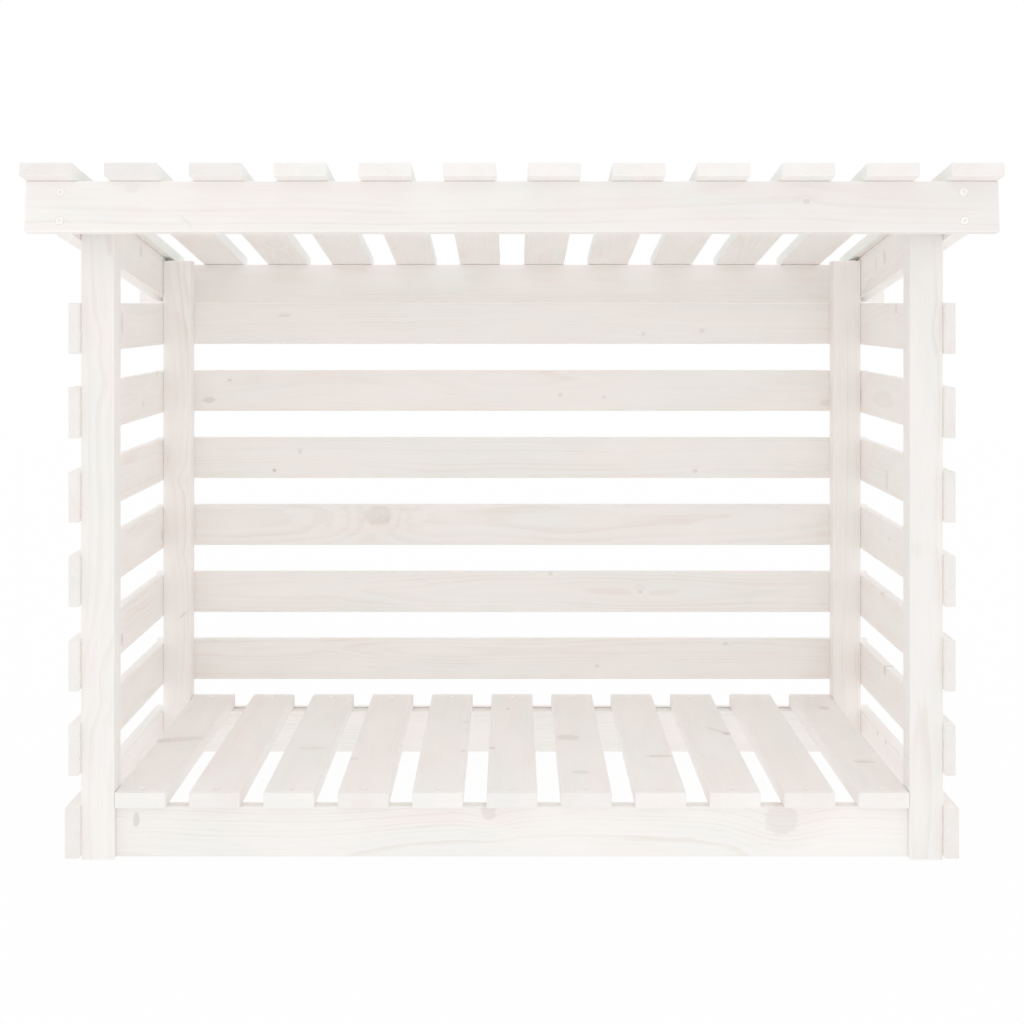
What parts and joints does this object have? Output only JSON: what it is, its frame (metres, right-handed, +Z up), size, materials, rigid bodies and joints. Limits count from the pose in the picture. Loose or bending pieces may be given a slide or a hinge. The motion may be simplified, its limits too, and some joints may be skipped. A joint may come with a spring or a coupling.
{
  "type": "kindling box",
  "caption": "Open-fronted kindling box of whitewashed pine, with a slatted floor, slatted sides and back, and a slatted roof falling to the rear.",
  "frame": {"origin": "on the ground, under the middle of the whole box in width and in depth, the roof included", "axes": "+X to the right seen from the open front, +Y to the back, +Z up; the open front faces -Y"},
  "size_m": [1.0814, 0.7298, 0.7902],
  "materials": {
    "whitewashed_pine": "matt white stain over planed pine, grain and knots showing",
    "plated_steel": "satin plated screw heads"
  },
  "bodies": {
    "root": {"front_left_post": "whitewashed_pine", "front_right_post": "whitewashed_pine", "rear_left_post": "whitewashed_pine", "rear_right_post": "whitewashed_pine", "front_floor_beam": "whitewashed_pine", "rear_floor_beam": "whitewashed_pine", "floor_slat_01": "whitewashed_pine", "floor_slat_02": "whitewashed_pine", "floor_slat_03": "whitewashed_pine", "floor_slat_04": "whitewashed_pine", "floor_slat_05": "whitewashed_pine", "floor_slat_06": "whitewashed_pine", "floor_slat_07": "whitewashed_pine", "floor_slat_08": "whitewashed_pine", "floor_slat_09": "whitewashed_pine", "floor_slat_10": "whitewashed_pine", "floor_slat_11": "whitewashed_pine", "left_lower_board": "whitewashed_pine", "left_slat_1": "whitewashed_pine", "left_slat_2": "whitewashed_pine", "left_slat_3": "whitewashed_pine", "left_slat_4": "whitewashed_pine", "left_slat_5": "whitewashed_pine", "left_slat_6": "whitewashed_pine", "right_lower_board": "whitewashed_pine", "right_slat_1": "whitewashed_pine", "right_slat_2": "whitewashed_pine", "right_slat_3": "whitewashed_pine", "right_slat_4": "whitewashed_pine", "right_slat_5": "whitewashed_pine", "right_slat_6": "whitewashed_pine", "back_lower_board": "whitewashed_pine", "back_slat_1": "whitewashed_pine", "back_slat_2": "whitewashed_pine", "back_slat_3": "whitewashed_pine", "back_slat_4": "whitewashed_pine", "back_slat_5": "whitewashed_pine", "back_slat_6": "whitewashed_pine", "front_roof_beam": "whitewashed_pine", "rear_roof_beam": "whitewashed_pine", "left_rafter": "whitewashed_pine", "right_rafter": "whitewashed_pine", "roof_slat_01": "whitewashed_pine", "roof_slat_02": "whitewashed_pine", "roof_slat_03": "whitewashed_pine", "roof_slat_04": "whitewashed_pine", "roof_slat_05": "whitewashed_pine", "roof_slat_06": "whitewashed_pine", "roof_slat_07": "whitewashed_pine", "roof_slat_08": "whitewashed_pine", "roof_slat_09": "whitewashed_pine", "roof_slat_10": "whitewashed_pine", "roof_slat_11": "whitewashed_pine", "roof_slat_12": "whitewashed_pine", "left_upper_beam_screw": "plated_steel", "left_lower_beam_screw": "plated_steel", "right_upper_beam_screw": "plated_steel", "right_lower_beam_screw": "plated_steel"}
  },
  "joints": []
}
